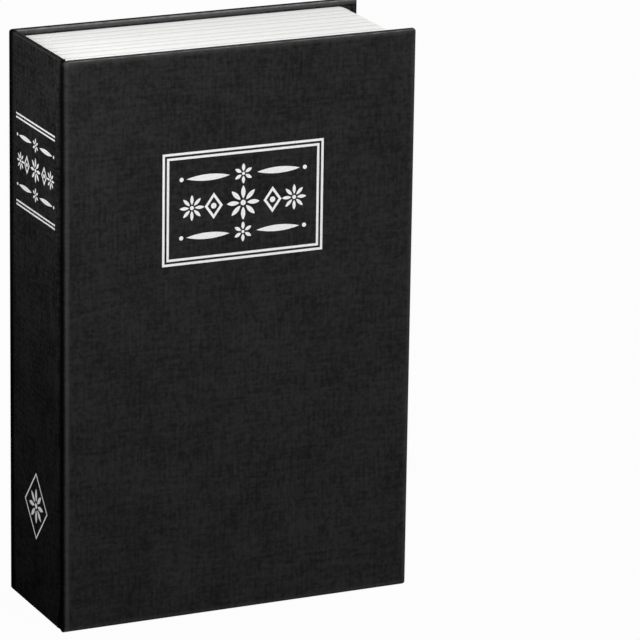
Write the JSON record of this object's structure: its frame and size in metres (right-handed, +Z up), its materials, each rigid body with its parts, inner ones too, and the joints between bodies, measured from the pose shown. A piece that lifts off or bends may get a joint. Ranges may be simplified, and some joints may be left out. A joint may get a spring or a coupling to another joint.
{
  "type": "book diversion safe",
  "caption": "Steel lock box hidden in a hollow hardback book: the front cover opens on a hinged, key-locked inner door.",
  "frame": {"origin": "centre of the closed book's footprint, on the surface it stands on", "axes": "+X from the spine to the fore-edge, +Y from the front cover to the back cover, +Z up along the spine"},
  "size_m": [0.155, 0.06, 0.24],
  "materials": {
    "book_cloth": "matte charcoal book cloth",
    "grey_board": "grey bookbinder's board",
    "endpaper": "matte black endpaper",
    "page_plastic": "moulded white",
    "powder_coat": "fine-textured powder coat",
    "black_coat": "black powder coat",
    "zinc_steel": "zinc plated",
    "chrome": "bright chrome plate",
    "key_metal": "nickel plated",
    "lock_brass": "stamped",
    "key_plastic": "moulded black",
    "white_foil": "stamped white foil"
  },
  "bodies": {
    "case": {"back_board": "grey_board", "back_cover_cloth": "book_cloth", "back_lining": "endpaper", "spine_board": "grey_board", "spine_cloth": "book_cloth", "spine_lining": "endpaper", "front_joint_cloth": "book_cloth", "page_block": "page_plastic", "steel_tray": "black_coat", "strike_channel": "black_coat", "tray_screw_1": "zinc_steel", "tray_screw_2": "zinc_steel", "tray_screw_3": "zinc_steel", "tray_screw_4": "zinc_steel", "upper_hinge_pin": "zinc_steel", "lower_hinge_pin": "zinc_steel", "key_1_head": "key_plastic", "key_1_blade": "key_metal", "key_2_head": "key_plastic", "key_2_blade": "key_metal", "key_ring": "chrome"},
    "front_cover": {"front_board": "grey_board", "front_cover_cloth": "book_cloth", "front_lining": "endpaper"},
    "inner_door": {"door_panel": "powder_coat", "lock_housing": "chrome", "lock_nut": "zinc_steel"},
    "plug": {"lock_plug": "chrome", "wafer_1": "lock_brass", "wafer_2": "lock_brass", "wafer_3": "lock_brass", "wafer_4": "lock_brass", "wafer_5": "lock_brass", "lock_cam": "zinc_steel", "cam_washer": "zinc_steel", "cam_screw": "zinc_steel"}
  },
  "joints": [
    {"name": "front_cover_hinge", "type": "hinge", "parent": "case", "child": "front_cover", "pos_m": [-0.0775, -0.027, 0], "axis": [0, 0, -1], "range_deg": [0, 180]},
    {"name": "inner_door_hinge", "type": "hinge", "parent": "case", "child": "inner_door", "pos_m": [-0.0598, -0.0192, 0], "axis": [0, 0, -1], "range_deg": [0, 100]},
    {"name": "lock_plug_turn", "type": "hinge", "parent": "inner_door", "child": "plug", "pos_m": [0.0309, -0.0226, 0.12], "axis": [0, -1, 0], "range_deg": [0, 90]}
  ],
  "couplings": [
    {"joint": "inner_door_hinge", "follows": "front_cover_hinge", "ratio": 0.5555}
  ]
}
